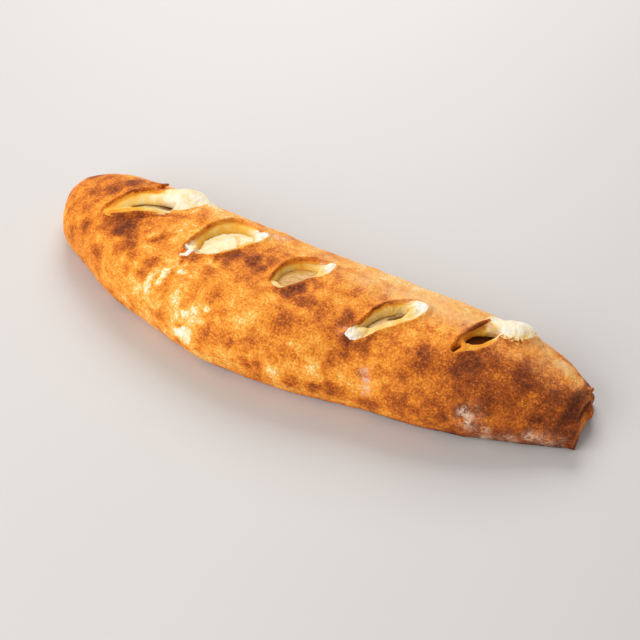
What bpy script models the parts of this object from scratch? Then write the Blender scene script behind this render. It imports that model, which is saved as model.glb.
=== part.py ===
"""Stromboli: a baked roll of pizza dough, slit five times across its top, with its filling inside.

The named sizes are in millimetres, and place() turns a point to metres about the middle of the
footprint. +X runs along the roll to its folded end, +Y to its straighter side and +Z up. The
origin is the middle of the footprint, on the surface that the roll lies on.
"""
import bmesh
import bpy
import numpy as np
from mathutils import Matrix, Vector, noise

MM = 0.001
FOOTPRINT_MIDDLE = Vector((1.2, -0.19, 0.0))

# The roll, as sections along its length: x, middle y, half width, height.
SECTIONS = np.array([
    (-185.0, 22.5, 21.0, 29.5),
    (-170.0, 15.5, 28.5, 33.5),
    (-150.0, 11.0, 34.0, 38.0),
    (-112.0, 4.5, 44.0, 43.0),
    (-67.0, -2.0, 48.0, 46.0),
    (-22.0, -4.5, 51.0, 47.0),
    (23.0, -1.5, 49.5, 46.5),
    (68.0, 6.0, 45.0, 44.5),
    (108.0, 11.0, 42.5, 42.0),
    (148.0, 19.5, 35.5, 34.0),
    (188.0, 25.0, 20.0, 20.0),
])
TIP_X = -188.0             # the rounded end
TIP_ROUND = 40.0           # length over which the rounded end closes
TIP_LIFT = 9.0             # how far the tip stands clear of the surface
TIP_CURL = 1.5             # how late along the closing length that lift comes
FOLD_X = 186.0             # the face of the folded end, without its two rolls of dough
FOLD_SKEW = 3.5            # how much further the face reaches at the front than in the middle
FOLD_LEAN = 2.5            # how far the face leans back over the height of the end
FOLD_REACH = 40.0          # length of the roll that the skew of its face draws along
ROUND_POWER = 2.2          # fullness of a rounded end
ROUND_RISE = 0.8           # how much earlier the height of a rounded end fills than its width
CROWN_POWER = 2.3          # fullness of the top of a section
WIDEST_AT = 0.42           # height of the widest place, as a share of a section's height
UNDERCUT = 0.20            # how far the side rolls in to the flat base, as a share of half width
UNEVEN = 0.024             # hand-rolled unevenness of the sections, as a share of their size
UNEVEN_SPAN = 34.0         # length of one swell of that unevenness
UNEVEN_TURNS = 1.6         # swells across half a section
EVEN_BELOW = 0.25          # share of the height below which the unevenness fades to the base
RESTS_AT = (-102.7, 108.5) # the two sections that touch the surface over the whole flat base
RESTS_WITHIN = 2.0         # how near to those places such a section lies
FLAT_WITHIN = 0.6          # between them, the share of half width that touches
EDGE_LIFT = 0.4            # how far the rest of the underside stands clear

# The dough wall and the room that the filling leaves.
SIDE_WALL = 7.0
FLOOR_WALL = 5.0
ROOF_WALL = 6.0
END_WALL = 14.0
GAP = 0.35                 # between the dough and the filling
HEADROOM = 2.5             # between the filling and the roof of the roll

# The slits: left end (x, y), right end (x, y), bow of the front edge, bow of the back edge,
# how far the cut dough at the back leans in with each millimetre of depth, and how far below
# the crust the melted filling has risen there, or None where it stays inside.
SLITS = (
    ((-133.0, -10.5), (-91.5, 11.5), 2.5, 18.0, 1.1, None),
    ((-60.0, -14.5), (-30.0, 20.0), 9.0, 17.0, 0.7, 3.5),
    ((-2.5, -11.0), (17.5, 15.0), 6.0, 10.0, 0.5, 4.5),
    ((58.5, -15.0), (78.5, 11.5), 5.5, 8.5, 0.4, 6.0),
    ((110.0, 1.0), (129.0, 27.5), 3.8, 9.5, 0.4, None),
)
SLIT_DEPTH = 11.0          # how far a cutter goes below the crust
SLIT_RISE = 8.0            # how far it stands above
LIP_OUT = 2.0              # how far a lip's middle lies outside the slit
FRONT_LIP = 2.1            # radius of the rolled lip at the front edge
BACK_LIP = 3.7             # radius of the raised lip at the back edge
LIP_SINK = 0.9             # how far a lip's middle lies below the crust
MOUND_LONG = 0.36          # half length of risen filling, as a share of the slit
MOUND_WIDE = 0.30          # its half width, as a share of the opening
MOUND_DEEP = 7.0           # its radius upwards

# Raw dough swollen out at the right ends of the first and last slit: middle x, y, height above
# the crust, radii along, across and up, and turn in degrees about the vertical.
BULGES = (
    (-94.0, 30.0, -2.0, 18.0, 11.0, 7.5, 38.0),
    (130.5, 37.0, -2.0, 18.5, 10.5, 8.0, 35.0),
)
# The two rolls of dough that close the folded end: x, y, z of the middle, and radii along them.
FOLD_ROLLS = (
    (183.5, 24.0, 6.6, 6.5, 18.5, 6.4),
    (181.0, 30.5, 13.6, 6.0, 15.0, 6.0),
)

# Steps of the faceted shapes.
CROWN_STEPS = 24
SIDE_STEPS = 4
BASE_STEPS = 4
STATIONS = 52
STATION_CROWDING = 0.10    # how much closer the stations lie at the rounded end
INNER_STATIONS = 30
END_STEP = 0.5             # from a rounded end's tip to its first section
SLIT_STEPS = 28
LIP_SIDES = 8
LUMP_SEGMENTS = 16
LUMP_RINGS = 9


def place(point):
    """A point in millimetres, as metres about the middle of the footprint."""
    return (Vector(point) - FOOTPRINT_MIDDLE) * MM


def along(column, x):
    """One column of SECTIONS at x, on a smooth curve through the sections."""
    xs, values = SECTIONS[:, 0], SECTIONS[:, column]
    slopes = np.gradient(values, xs)
    i = np.clip(np.searchsorted(xs, x) - 1, 0, len(xs) - 2)
    span = xs[i + 1] - xs[i]
    t = (x - xs[i]) / span
    return ((1 + 2 * t) * (1 - t) ** 2 * values[i] + t * (1 - t) ** 2 * span * slopes[i]
            + t * t * (3 - 2 * t) * values[i + 1] + t * t * (t - 1) * span * slopes[i + 1])


def closing(distance):
    """How open a rounded end is, from 0 at its tip to 1 at its full size."""
    left = min(max(1.0 - distance / TIP_ROUND, 0.0), 1.0)
    return (1.0 - left ** ROUND_POWER) ** (1.0 / ROUND_POWER)


def top_height(x, y):
    """Height of the even crust above the point x, y."""
    offset = min(abs(y - along(1, x)) / along(2, x), 1.0)
    rise = (1.0 - offset ** CROWN_POWER) ** (1.0 / CROWN_POWER)
    return along(3, x) * (WIDEST_AT + (1.0 - WIDEST_AT) * rise)


def unit_section():
    """Points (across, up) of a section of half width 1 and height 1, once round."""
    points = []
    for angle in np.linspace(0.0, np.pi, CROWN_STEPS + 1):
        across = np.sign(np.cos(angle)) * abs(np.cos(angle)) ** (2.0 / CROWN_POWER)
        up = WIDEST_AT + (1.0 - WIDEST_AT) * np.sin(angle) ** (2.0 / CROWN_POWER)
        points.append((across, up))
    quarter = np.linspace(0.0, np.pi / 2, SIDE_STEPS + 1)[1:]
    side = [(1.0 - UNDERCUT * (1.0 - np.cos(a)), WIDEST_AT * (1.0 - np.sin(a))) for a in quarter]
    points += [(-across, up) for across, up in side]
    flat = 1.0 - UNDERCUT
    points += [(across, 0.0) for across in np.linspace(-flat, flat, BASE_STEPS + 1)[1:-1]]
    points += side[::-1]
    return points


def to_object(name, work):
    """Object with the shape of a bmesh, in triangles that face outwards."""
    bmesh.ops.recalc_face_normals(work, faces=work.faces)
    bmesh.ops.triangulate(work, faces=work.faces)
    mesh = bpy.data.meshes.new(name)
    work.to_mesh(mesh)
    work.free()
    return bpy.data.objects.new(name, mesh)


def bridge(work, ring, following):
    """Faces between two rings with the same number of points."""
    for i in range(len(ring)):
        j = (i + 1) % len(ring)
        work.faces.new((ring[i], ring[j], following[j], following[i]))


def loft(name, rings):
    """Closed body through rings of points, with a fan over each end."""
    work = bmesh.new()
    rings = [[work.verts.new(place(point)) for point in ring] for ring in rings]
    for ring, following in zip(rings, rings[1:]):
        bridge(work, ring, following)
    for ring in (rings[0], rings[-1]):
        middle = work.verts.new(sum((v.co for v in ring), Vector()) / len(ring))
        for i in range(len(ring)):
            work.faces.new((ring[i], ring[(i + 1) % len(ring)], middle))
    return to_object(name, work)


def underside_lift(x, across):
    """How far the underside stands clear of the surface at a place."""
    if min(abs(x - place_x) for place_x in RESTS_AT) < RESTS_WITHIN:
        return 0.0
    touches = RESTS_AT[0] < x < RESTS_AT[1] and abs(across) < FLAT_WITHIN
    return 0.0 if touches else EDGE_LIFT


def crust_ring(x):
    """Outer section of the roll at x, with its hand-rolled unevenness."""
    share = closing(x - TIP_X)
    half_width, height = along(2, x) * share, along(3, x) * share ** ROUND_RISE
    lift = TIP_LIFT * (1.0 - share) ** TIP_CURL
    drawn = max(0.0, 1.0 - (FOLD_X - x) / FOLD_REACH)
    ring = []
    for across, up in unit_section():
        swell = noise.noise(Vector((x / UNEVEN_SPAN, across * UNEVEN_TURNS, up * UNEVEN_TURNS)))
        size = 1.0 + UNEVEN * swell * min(up / EVEN_BELOW, 1.0)
        z = lift + height * up * size
        if up == 0.0:
            z += underside_lift(x, across)
        ring.append((x - drawn * (FOLD_SKEW * across + FOLD_LEAN * up),
                     along(1, x) + half_width * across * size, z))
    return ring


def crust_body():
    """The whole roll, before it is joined and cut."""
    share = np.linspace(0.0, 1.0, STATIONS)
    share -= STATION_CROWDING * np.sin(np.pi * share)
    first = TIP_X + END_STEP
    return loft("crust", [crust_ring(x) for x in first + (FOLD_X - first) * share])


def inner_ring(x, first, last, gap, headroom):
    """Section of the hollow at x, or of the filling, smaller by its gap and headroom."""
    share = closing(x - first) * closing(last - x)
    half_width = (along(2, x) - SIDE_WALL - gap) * share
    height = (along(3, x) - FLOOR_WALL - ROOF_WALL - gap - headroom) * share ** ROUND_RISE
    floor = FLOOR_WALL + gap + TIP_LIFT * (1.0 - share)
    return [(x, along(1, x) + half_width * across, floor + height * up)
            for across, up in unit_section()]


def inner_body(name, gap, headroom):
    first, last = TIP_X + END_WALL + gap, FOLD_X - END_WALL - gap
    xs = np.linspace(first + END_STEP, last - END_STEP, INNER_STATIONS)
    return loft(name, [inner_ring(x, first, last, gap, headroom) for x in xs])


def slit_frame(slit):
    """Left end, chord and the direction across it to the back, of one slit."""
    (x0, y0), (x1, y1) = slit[:2]
    chord = np.array((x1 - x0, y1 - y0))
    return np.array((x0, y0)), chord, np.array((-chord[1], chord[0])) / np.hypot(*chord)


def slit_outline(slit, depth):
    """Points round a slit at a depth, from its left end along the back and home at the front."""
    start, chord, outward = slit_frame(slit)
    front_bow, back_bow, lean = slit[2:5]
    points = []
    for turn in np.linspace(0.0, 2 * np.pi, SLIT_STEPS, endpoint=False):
        bow = back_bow - lean * depth if np.sin(turn) > 0 else front_bow
        x, y = start + chord * (1.0 - np.cos(turn)) / 2.0 + outward * bow * np.sin(turn)
        points.append((x, y, top_height(x, y) - depth))
    return points


def slit_cutter(index, slit):
    """Lens-shaped wedge, wider at the top, whose slope is the cut dough at the back."""
    depths = (SLIT_DEPTH, 0.0, -SLIT_RISE)
    return loft(f"slit_{index}", [slit_outline(slit, depth) for depth in depths])


def lip(index, slit):
    """Rolled edge of dough round a slit, thicker at the back."""
    path = np.array(slit_outline(slit, 0.0))
    heading = np.roll(path, -1, axis=0) - np.roll(path, 1, axis=0)
    outward = np.stack((-heading[:, 1], heading[:, 0]), axis=1)
    outward /= np.linalg.norm(outward, axis=1)[:, None]
    turns = np.linspace(0.0, 2 * np.pi, SLIT_STEPS, endpoint=False)
    radii = FRONT_LIP + (BACK_LIP - FRONT_LIP) * np.clip(np.sin(turns), 0.0, 1.0)
    sides = np.linspace(0.0, 2 * np.pi, LIP_SIDES, endpoint=False)
    work = bmesh.new()
    rings = []
    for (x, y), away, radius in zip(path[:, :2], outward, radii):
        x, y = np.array((x, y)) + away * LIP_OUT
        z = top_height(x, y) - LIP_SINK
        rings.append([work.verts.new(place((x + away[0] * radius * np.cos(side),
                                            y + away[1] * radius * np.cos(side),
                                            z + radius * np.sin(side)))) for side in sides])
    for ring, following in zip(rings, rings[1:] + rings[:1]):
        bridge(work, ring, following)
    return to_object(f"lip_{index}", work)


def lump(name, middle, radii, turn=0.0):
    """Rounded lump, an ellipsoid turned about the vertical by some degrees."""
    work = bmesh.new()
    bmesh.ops.create_uvsphere(work, u_segments=LUMP_SEGMENTS, v_segments=LUMP_RINGS, radius=MM)
    bmesh.ops.scale(work, vec=radii, verts=work.verts)
    turned = Matrix.Rotation(np.radians(turn), 3, "Z")
    bmesh.ops.rotate(work, matrix=turned, verts=work.verts)
    bmesh.ops.translate(work, vec=place(middle), verts=work.verts)
    return to_object(name, work)


def bulges():
    """The raw dough that has swollen out at two of the slits."""
    made = []
    for index, (x, y, above, along_it, across_it, up, turn) in enumerate(BULGES, 1):
        middle = (x, y, top_height(x, y) + above)
        made.append(lump(f"bulge_{index}", middle, (along_it, across_it, up), turn))
    return made


def fold_rolls():
    """The rolled edges of the dough that is folded over the open end."""
    return [lump(f"fold_{index}", roll[:3], roll[3:]) for index, roll in enumerate(FOLD_ROLLS, 1)]


def mounds():
    """Melted filling that has risen into the slits."""
    made = []
    for index, slit in enumerate(SLITS, 1):
        front_bow, back_bow, lean, sunk = slit[2:]
        if sunk is None:
            continue
        start, chord, outward = slit_frame(slit)
        back_bow -= lean * ROOF_WALL
        x, y = start + chord / 2.0 + outward * (back_bow - front_bow) / 2.0
        radii = (MOUND_LONG * np.hypot(*chord), MOUND_WIDE * (front_bow + back_bow), MOUND_DEEP)
        middle = (x, y, top_height(x, y) - sunk - MOUND_DEEP)
        turn = np.degrees(np.arctan2(chord[1], chord[0]))
        made.append(lump(f"mound_{index}", middle, radii, turn))
    return made


def material(name, colour, roughness):
    made = bpy.data.materials.new(name)
    made.use_nodes = True
    shader = made.node_tree.nodes["Principled BSDF"]
    shader.inputs["Base Color"].default_value = (*colour, 1.0)
    shader.inputs["Roughness"].default_value = roughness
    shader.inputs["Metallic"].default_value = 0.0
    made.diffuse_color = (*colour, 1.0)
    return made


def apply_boolean(target, operation, tools):
    """Join the target with some objects, or cut it by them, and remove them."""
    group = bpy.data.collections.new(operation.lower())
    bpy.context.scene.collection.children.link(group)
    for tool in tools:
        group.objects.link(tool)
        tool.hide_render = True
        tool.display_type = "WIRE"
    modifier = target.modifiers.new(group.name, "BOOLEAN")
    modifier.operation = operation
    modifier.operand_type = "COLLECTION"
    modifier.collection = group
    bpy.context.view_layer.objects.active = target
    bpy.ops.object.modifier_apply(modifier=modifier.name)
    for tool in tools:
        bpy.data.objects.remove(tool)
    bpy.data.collections.remove(group)


def make_crust(parts):
    crust = crust_body()
    crust.data.materials.append(material("crust_dough", (0.62, 0.26, 0.06), 0.62))
    parts.objects.link(crust)
    lips = [lip(index, slit) for index, slit in enumerate(SLITS, 1)]
    apply_boolean(crust, "UNION", lips + bulges() + fold_rolls())
    cutters = [slit_cutter(index, slit) for index, slit in enumerate(SLITS, 1)]
    apply_boolean(crust, "DIFFERENCE", cutters + [inner_body("hollow", 0.0, 0.0)])
    crust.data.shade_smooth()


def make_filling(parts):
    filling = inner_body("filling", GAP, HEADROOM)
    filling.data.materials.append(material("melted_cheese", (0.80, 0.70, 0.36), 0.38))
    parts.objects.link(filling)
    apply_boolean(filling, "UNION", mounds())
    filling.data.shade_smooth()


def main():
    for old in list(bpy.data.objects):
        bpy.data.objects.remove(old)
    parts = bpy.data.collections.new("stromboli")
    bpy.context.scene.collection.children.link(parts)
    make_crust(parts)
    make_filling(parts)


main()
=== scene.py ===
"""Looks of the stromboli: its crust and its melted filling, at the fine detail of the baked thing.

Lengths are in millimetres in the part's own section frame, and metres() places them. Both pieces
are made as distance fields on a grid, which is how soft dough joins, splits and swells, and then
turned to meshes. Masks kept on their vertices say where the dough is browned, raw, cut or floury,
and where painted shade and a painted sheen lie on it.
"""
import itertools
import math
from collections import namedtuple
import bmesh
import bpy
import numpy as np
import openvdb
from mathutils import Matrix, Vector, noise


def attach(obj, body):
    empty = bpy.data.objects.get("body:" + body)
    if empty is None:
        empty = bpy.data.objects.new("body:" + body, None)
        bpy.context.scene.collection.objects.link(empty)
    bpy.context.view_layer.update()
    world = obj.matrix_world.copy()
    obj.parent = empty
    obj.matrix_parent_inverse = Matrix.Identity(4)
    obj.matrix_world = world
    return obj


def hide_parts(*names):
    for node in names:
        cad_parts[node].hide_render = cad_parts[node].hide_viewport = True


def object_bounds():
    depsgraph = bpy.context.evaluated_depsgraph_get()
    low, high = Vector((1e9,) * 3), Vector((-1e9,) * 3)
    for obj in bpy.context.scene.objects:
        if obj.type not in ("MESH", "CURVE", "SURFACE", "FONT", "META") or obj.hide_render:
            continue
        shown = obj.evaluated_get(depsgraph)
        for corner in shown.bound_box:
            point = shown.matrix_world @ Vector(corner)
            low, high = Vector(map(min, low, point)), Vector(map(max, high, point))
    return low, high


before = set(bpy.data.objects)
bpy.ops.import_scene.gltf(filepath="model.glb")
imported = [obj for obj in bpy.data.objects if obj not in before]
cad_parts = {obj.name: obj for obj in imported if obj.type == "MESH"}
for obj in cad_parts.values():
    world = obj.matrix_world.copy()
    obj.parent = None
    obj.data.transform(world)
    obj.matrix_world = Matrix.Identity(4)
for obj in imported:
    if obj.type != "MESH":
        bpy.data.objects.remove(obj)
CAD_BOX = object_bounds()

# ---- the roll, as the CAD has it
FOOTPRINT_MIDDLE = np.array((1.2, -0.19, 0.0))
SECTIONS = np.array([      # x, middle y, half width, height
    (-185.0, 22.5, 21.0, 29.5),
    (-170.0, 15.5, 28.5, 33.5),
    (-150.0, 11.0, 34.0, 38.0),
    (-112.0, 4.5, 44.0, 43.0),
    (-67.0, -2.0, 48.0, 46.0),
    (-22.0, -4.5, 51.0, 47.0),
    (23.0, -1.5, 49.5, 46.5),
    (68.0, 6.0, 45.0, 44.5),
    (108.0, 11.0, 42.5, 42.0),
    (148.0, 19.5, 35.5, 34.0),
    (188.0, 25.0, 20.0, 20.0),
])
TIP_X, TIP_ROUND, TIP_LIFT, TIP_CURL = -188.0, 40.0, 9.0, 1.5
FOLD_X, FOLD_SKEW, FOLD_LEAN, FOLD_REACH = 186.0, 3.5, 2.5, 40.0
ROUND_POWER, ROUND_RISE = 2.2, 0.8
CROWN_POWER, WIDEST_AT, UNDERCUT = 2.3, 0.42, 0.20
UNEVEN, UNEVEN_SPAN, UNEVEN_TURNS, EVEN_BELOW = 0.024, 34.0, 1.6, 0.25
STATIONS = 180
RING_CROWN, RING_SIDE, RING_BASE = 60, 10, 12

# ---- the grid of the fields
VOXEL = 0.7
LOW = np.array((-194.0, -64.0, -3.2))
HIGH = np.array((196.0, 62.0, 54.4))
SHAPE = tuple(int(v) for v in np.ceil((HIGH - LOW) / VOXEL))
GRID_AXES = [LOW[k] + VOXEL * np.arange(SHAPE[k]) for k in range(3)]
OUT_BAND, IN_BAND = 12.0, 20.0     # voxels of true distance outside and inside the roll
FAR = 20.0                         # distance to a form, where the form is far away
SMOOTH_ROUNDS = 3
HIDDEN_DEPTH = 4.0                 # how deep in the roll the crust's faces are thinned
CRUST_KEEP, FILLING_KEEP = 0.06, 0.05     # share of the hidden faces kept

# ---- walls, filling and slits
WALL = 6.2                 # thickness of the dough
END_WALL = 14.0
FILL_GAP = 1.2             # between dough and filling at the sides
FILL_HEADROOM = 3.2        # and under the roof
FILL_CLEAR = -0.2          # and everywhere else, a slight overlap that leaves no gap to see

# A lens in plan: left end and right end (x, y), and how far its back edge and its front edge lie
# across from the line between them, at five places along it.
Lens = namedtuple("Lens", "left right back front")
# A slit: the torn edge of the crust round it, the gap inside that edge, how deep the pale dough
# reaches at the back and at the front of the gap, how deep the filling lies at the front, in the
# middle and at the back of the gap, how golden the dough is at the left, in the middle, at the
# right and along the torn edge, how much painted olive shade it has near the gap, how frosty it
# is at its left and right end, and how brown and how high the lip behind it is.
Slit = namedtuple("Slit", "rim gap deep filling gold olive frost lip")
SLITS = (
    Slit(Lens((-134.3, -8.6), (-96.1, 18.3), (4.2, 12.2, 18.5, 18.5, 9.1),
              (-2.7, -4.5, -5.7, -7.6, -8.3)),
         Lens((-123.4, 3), (-94.9, 19), (4.2, 7, 7, 5.8, 2.9), (-0.5, -1.8, -3.7, -6, -5.6)),
         (5.4, 0.2), (3.6, 4.6, 6.4), (0.85, 0.42, 0.10, 0.90), 0.40, (0, 0.2), (0.20, 0.7)),
    Slit(Lens((-65.6, -11.9), (-29, 24.5), (2.5, 10.4, 18.3, 20.5, 7.5),
              (-5.7, -12.5, -12.2, -8.4, -3.8)),
         Lens((-57.9, -8.9), (-36, 19.9), (3.1, 9.4, 11.8, 11, 7.4), (-5, -8.3, -7, -4.6, -2.2)),
         (4.4, 1.2), (0.7, 1.5, 4.4), (0.50, 0.72, 0.50, 0.65), 0.45, (0.9, 1), (0.18, 1)),
    Slit(Lens((-3.4, -10.9), (21.2, 22.7), (3.2, 9.5, 12.6, 10.3, 4.7), (-6.3, -7.7, -6.2, -5.3, -2.8)),
         Lens((-1.4, -7.4), (14.4, 14.6), (2, 6.4, 8.3, 6.9, 3), (-5.3, -6.6, -5.6, -4.3, -1.9)),
         (3.6, 1), (1.1, 2.2, 4), (0.30, 0.68, 0.20, 0.80), 0.28, (0, 1), (0.26, 0.7)),
    Slit(Lens((55.2, -22.3), (83.7, 22.1), (2.6, 5.2, 11.2, 10.7, 7), (-4.6, -4.8, -4.4, -4.6, -3.2)),
         Lens((59.4, -9), (75.7, 14.2), (1.1, 3.1, 4.4, 4.1, 3.3), (-2.3, -3.3, -2.6, -2.4, -1.5)),
         (5.4, 1.2), (1.5, 3.6, 5.6), (0.28, 0.52, 0.22, 0.60), 0.72, (1, 1), (0.50, 0.8)),
    Slit(Lens((110.2, 0.9), (126.4, 30.5), (2.1, 4.9, 7.6, 10.2, 9.8), (-1.6, -4, -5.2, -4.2, -1.6)),
         Lens((114.6, 13.6), (127.2, 32.2), (3.4, 5.2, 5.2, 3.9, 1.9), (-2.6, -3.4, -2.6, -1.4, -0.5)),
         (6.5, 1), (12, 14, 14), (1.00, 1.00, 0.55, 0.30), 0.70, (0, 0.3), (0.28, 0.8)),
)
SLIT_STEPS = 56
SLIT_DEEP = 13.0           # how far down a gap is cut
SLITS_ABOVE = 20.0         # the height above which the slits open the roll
RIM_DROP = 0.7             # thickness of the brown crust at a torn edge
WALL_BEND = 1.25           # how late the pale dough falls towards the gap
LIP_RADIUS = 1.0
SHOWN_WITHIN = 3.5         # how far from a gap the inside can be seen
# Raw dough pushed out of the first and the last slit, as lenses over the crust.
LEAVES = (
    Lens((-104, 14), (-75.5, 34.8), (15, 25, 26, 20, 11), (-3, -8, -7, -1.5, 0)),
    Lens((119, 24), (147, 49), (9, 18, 19, 14, 7), (-1.2, -3.5, -6.5, -4, -1.3)),
)
# Its lumps: middle x, y, height above the crust, radii along, across and up, turn in degrees.
RAW = (
    (-95, 30, -2.2, 12.5, 9, 7.2, 20),
    (-84.5, 33, -2, 9.5, 5, 4.4, -28),
    (-105, 27.5, -3.4, 10.5, 8, 5.2, 45),
    (-93, 19, -2.8, 9, 6, 3.8, 40),
    (131, 38, -2.4, 14, 9.5, 8, 30),
    (140, 41, -1.8, 8, 5.5, 4.6, 5),
    (122, 33.5, -3.4, 8, 6, 4.6, 50),
    (129.5, 29, -1.8, 5.5, 3.2, 2.4, 35),
    (137, 32.5, -1.4, 4.5, 2.6, 2, 40),
    (-31.5, 23, -1, 5.2, 3, 1.9, 55),
    (-36.5, 21.5, -1.6, 3.6, 2.2, 1.7, 60),
    (16.5, 15.5, -1.3, 3.8, 2.4, 1.9, 50),
    (19.3, 19.8, -0.8, 4.8, 3.8, 2.1, 60),
    (57.3, -18.2, -0.8, 5.6, 4.2, 2.3, 60),
    (60.8, -13, -1.6, 3.2, 2, 1.6, 50),
    (79.6, 18.6, -1, 7, 5.2, 2.9, 50),
    (75.8, 12, -1.8, 3.4, 2.2, 1.8, 50),
)
RAW_BLEND, RAW_FINE, RAW_LARGE = 3.2, 1.6, 5.2     # how softly lumps join, and what a large one is
# How softly other shapes run into the dough.
ROLL_BLEND, RIDGE_BLEND, LIP_BLEND, FORK_BLEND, THIN_BLEND = 1.6, 2, 2.4, 1.4, 1.2
HOLLOW_BLEND, CUT_BLEND, INSIDE_BLEND, FILLING_BLEND = 0.8, 1, 1.2, 1.6
# Flaps of crust: points x, y, height above the crust, and radii. The first curls up in front of
# the first slit, the next two are the raised corners at the back of the first and the last, and
# the fourth is the crumbly lip of the last.
FLAPS = (
    (((-131, -8.8, -0.2), (-126, -7.4, 0.6), (-118.4, -4, 1.2), (-110.5, 0.8, 1.4),
      (-103, 4.2, 1.1), (-96, 7.2, 0.3)), (0.9, 1.9, 2.3, 2.2, 1.8, 0.9)),
    (((-128, 18, 0), (-122.5, 26, 0.6), (-118.5, 32, 1.4), (-115.8, 36.5, 2.2)),
     (1.1, 1.7, 2, 0.9)),
    (((109.5, 18, 0), (112.6, 24.4, 0.3), (114.6, 31.4, 0.9), (116.5, 36.5, 1.6)),
     (0.8, 1, 1.2, 0.9)),
    (((126.8, 26.6, -0.4), (129.6, 28.8, 0.5), (131.8, 28.8, 0.2), (134.2, 30.6, 0.8),
      (137, 31.2, 0.3), (139.4, 34.6, 0.9), (141.6, 38.2, 0.4), (144.6, 43.6, 0.2)),
     (0.9, 1.8, 1.5, 1.9, 1.6, 1.8, 1.5, 0.8)),
)
CRUMBLY_FROM = 120.0       # x of where flaps are crumbly
# Forks of raw dough at the left end of the second slit: points x, y, height above the crust, radii.
FORKS = (
    (((-62.9, -18.4, -0.7), (-60.2, -17, -0.3), (-59, -13.6, -0.2), (-57.6, -9.5, -0.5)),
     (0.7, 1.1, 1.4, 1.5)),
    (((-65, -10.6, -0.7), (-62.1, -11.2, -0.2), (-59.5, -10.4, -0.2), (-57.4, -6.4, -0.5)),
     (0.7, 1.1, 1.4, 1.4)),
)
# Strands of dough across a slit: points x, y, height above the crust, and a radius.
STRANDS = (
    (((109.6, 13.8, -1.2), (111.9, 12.2, -1.6), (114.6, 8.6, -1.4)), 1.3),
)
# Small deep pits of the last slit, the first and the fourth, and how much deeper they are.
PITS = (
    Lens((110.6, 1.6), (113.8, 10.6), (1.4, 2.2, 2.6, 2.4, 1.3), (-0.4, -0.5, -0.4, -0.2, 0)),
    Lens((-99.6, 13.2), (-94.4, 18.4), (1, 1.9, 2, 1.6, 0.9), (-1, -1.9, -2.2, -1.8, -1)),
    Lens((68.3, 4.6), (76.2, 14.4), (0.9, 1.7, 2.1, 1.9, 1), (-0.5, -0.9, -1, -0.8, -0.4)),
)
PIT_DEEPER = 14.0
# A fold of the filling in the second slit, and its width.
CHEESE_FOLD = (((-46.5, 15.5, 42.6), (-42, 11.6, 43.8), (-38.6, 6, 45)), 1.1)

# The folded end: the space it takes, its rolls (x, y, z, radii), the ridge of its top edge and its
# corner (points and radii), its seam, the swell below the seam, and nubs (y, z, radius, height).
FOLD_SPACE = ((176, 0, 0), (190, 46, 24))
FOLD_ROLLS = (
    (181.8, 22, 6.2, 5, 15, 6.2),
    (179.8, 29, 13.6, 4.8, 11.5, 5.8),
)
FOLD_RIDGE = (((183.5, 39, 18), (182, 26, 19.2), (183.5, 13, 17), (187, 8, 6)),
              (2, 1.8, 1.7, 1.2))
FOLD_CORNER = (((181.5, 35, 17.4), (184.4, 40.5, 19.2)), (2.4, 0.7))
FOLD_SEAM = (14, 16.5, 0.26)     # at this y its height, and how it falls along y
FOLD_SWELL, FOLD_GROOVE, FOLD_SLOPE = 1.7, 1.9, 0.16
FOLD_NUBS = ((29, 7, 3.5, 1.3), (17, 4, 4, 0.8), (37, 3, 3, 0.6), (23, 1.5, 3, -0.9))

# Creases and ridges of the crust: points x, y, z, then width, height, and how much browner it is
# painted, as painted shade in a crease and, where less brown, as painted highlight on a ridge.
CREASES = (
    (((-88, -20, 43.5), (-79, -8, 45.3), (-72, 3, 45.8), (-66, 12, 45.2)), 1.7, -0.9, 0.10),
    (((-92, -17, 43.4), (-83, -5, 45), (-76, 7, 45.6), (-70, 17, 44.6)), 2.6, 0.8, -0.05),
    (((-64.2, -41, 37.4), (-62.9, -34.9, 40.8), (-62.4, -27.5, 43.4)), 1.5, 0.7, -0.10),
    (((-60, -37, 40.2), (-59, -28, 43.6), (-59.6, -20, 45.2)), 1.4, -0.7, 0.08),
    (((-55.2, -31, 43), (-55.5, -25.4, 44.4), (-56.4, -19, 45.5)), 1.5, 0.7, -0.08),
    (((-67.5, -44, 34.6), (-67.2, -36, 40), (-67.4, -29, 43)), 1.4, -0.7, 0.12),
    (((-70.2, -46, 31.4), (-70.9, -40.7, 36.4), (-72.4, -34, 40.2)), 1.5, 0.7, -0.08),
    (((-108, -3, 43.2), (-101, 2.4, 44), (-93, 6.6, 44.5), (-80, 12, 44.8)), 2, -0.3, 0.20),
    (((182.2, 37, 18), (181.2, 26, 19.6), (181.8, 16, 18.4), (184.6, 10, 12),
      (188.6, 7, 3)), 1, -0.8, 0.40),
    (((184, 14, 16.5), (184.5, 22, 14.4), (184.5, 30, 12.3), (183.5, 38, 10.3)), 1.3, 0, 0.25),
)

# Painted shade on the folded end's turning surface, over its browning: which way it faces, how
# widely, and how much browner it is there.
FOLD_TURN_SHADE = ((0.50, 0.15, 0.20), (0.20, 0.25, 0.12))
# Noise of the surfaces: height, span and seed.
CRUST_SWELLS = ((0.75, 17, 1), (0.32, 7, 2))
CRUST_GRAIN = ((0.16, 3.2, 3), (0.10, 1.7, 4))
CHEESE_SWELLS = ((0.45, 5.5, 23), (0.25, 2.4, 24))
FROST_GRAIN, LEAF_LUMPS = 0.30, 0.55
CHEESE_DROP, CHEESE_GROOVE = 0.25, 0.8

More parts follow.
